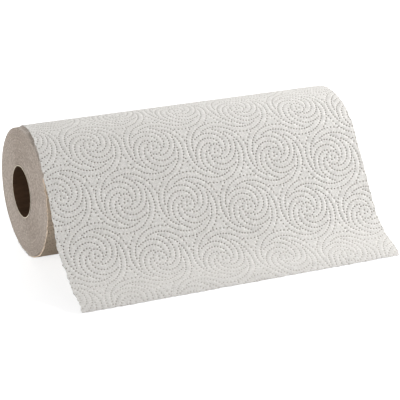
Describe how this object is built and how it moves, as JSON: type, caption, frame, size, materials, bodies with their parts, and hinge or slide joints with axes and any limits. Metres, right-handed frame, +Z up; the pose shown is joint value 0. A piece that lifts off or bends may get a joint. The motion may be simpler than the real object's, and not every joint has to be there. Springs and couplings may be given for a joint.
{
  "type": "paper towel roll",
  "caption": "Roll of white embossed paper towel on a cardboard core, lying on its side with its leading sheet pulled down to the front.",
  "frame": {"origin": "on the floor under the core's axis, half way along the paper, in the roll's flat spot", "axes": "+X along the roll, away from the end that shows; -Y to the front, where the leading sheet comes down; +Z up"},
  "size_m": [0.2809, 0.1822, 0.1052],
  "materials": {
    "core_board": "uncoated grey-brown paperboard",
    "towel_paper": "soft embossed off-white tissue"
  },
  "bodies": {
    "root": {"core_tube": "core_board", "towel_web": "towel_paper"}
  },
  "joints": []
}
